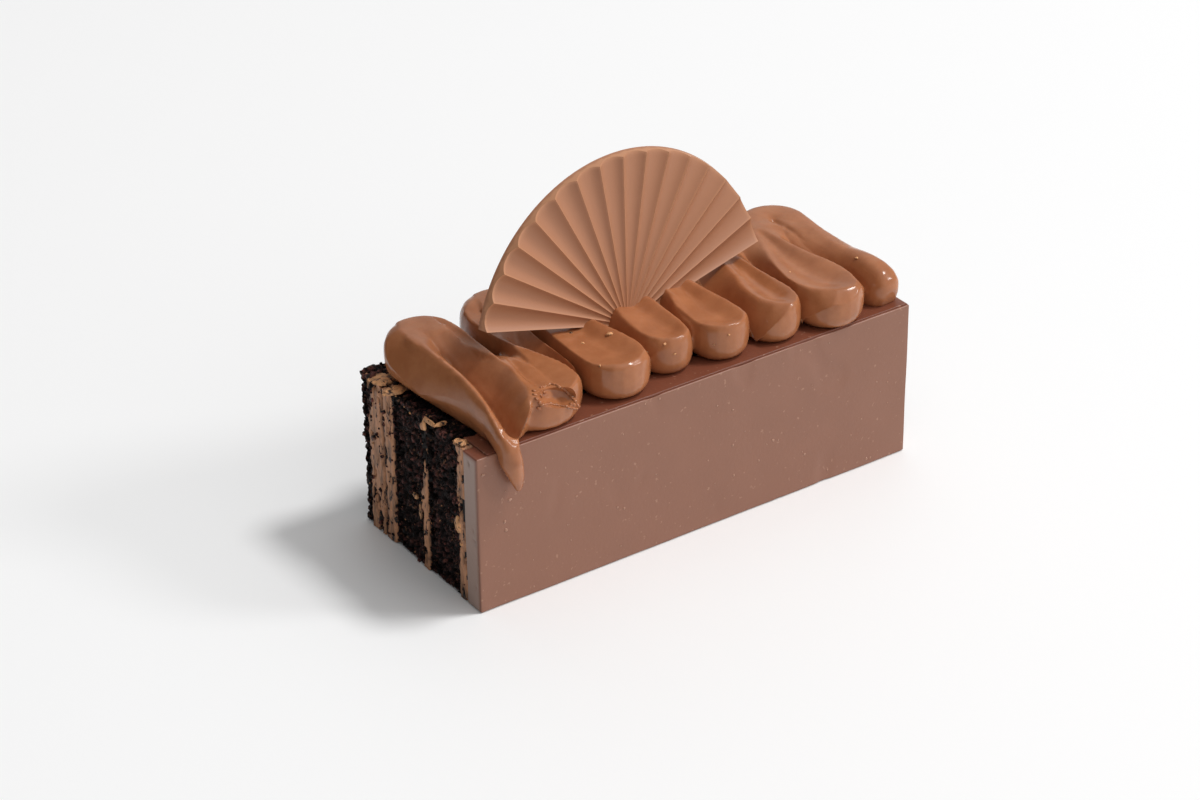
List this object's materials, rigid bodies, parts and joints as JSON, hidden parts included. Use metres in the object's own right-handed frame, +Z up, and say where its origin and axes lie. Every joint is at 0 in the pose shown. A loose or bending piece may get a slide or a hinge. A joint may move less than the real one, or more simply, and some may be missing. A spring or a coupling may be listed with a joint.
{
  "type": "slice of chocolate cake",
  "caption": "Bar-shaped slice of layered chocolate cake lying on its side, with zigzag piped ganache and a fluted chocolate fan on top.",
  "frame": {"origin": "middle of the slice's flat underside", "axes": "+X along the bar to the right, +Y from the ganache face to the back, +Z up"},
  "size_m": [0.122, 0.0541, 0.087],
  "materials": {
    "ganache": "set ganache, a smooth red-brown skin with a soft shine",
    "cream": "smeared light chocolate cream, matte",
    "sponge": "dark cocoa sponge, rough open crumb",
    "piping": "soft piped ganache, smooth and glossy",
    "chocolate": "moulded milk chocolate with a satin surface"
  },
  "bodies": {
    "root": {"ganache_slab": "ganache", "cream_band_front": "cream", "sponge_front": "sponge", "cream_band_thin": "cream", "sponge_middle": "sponge", "cream_band_narrow": "cream", "cream_band_wide": "cream", "sponge_back": "sponge", "piped_ganache": "piping", "chocolate_fan": "chocolate"}
  },
  "joints": []
}
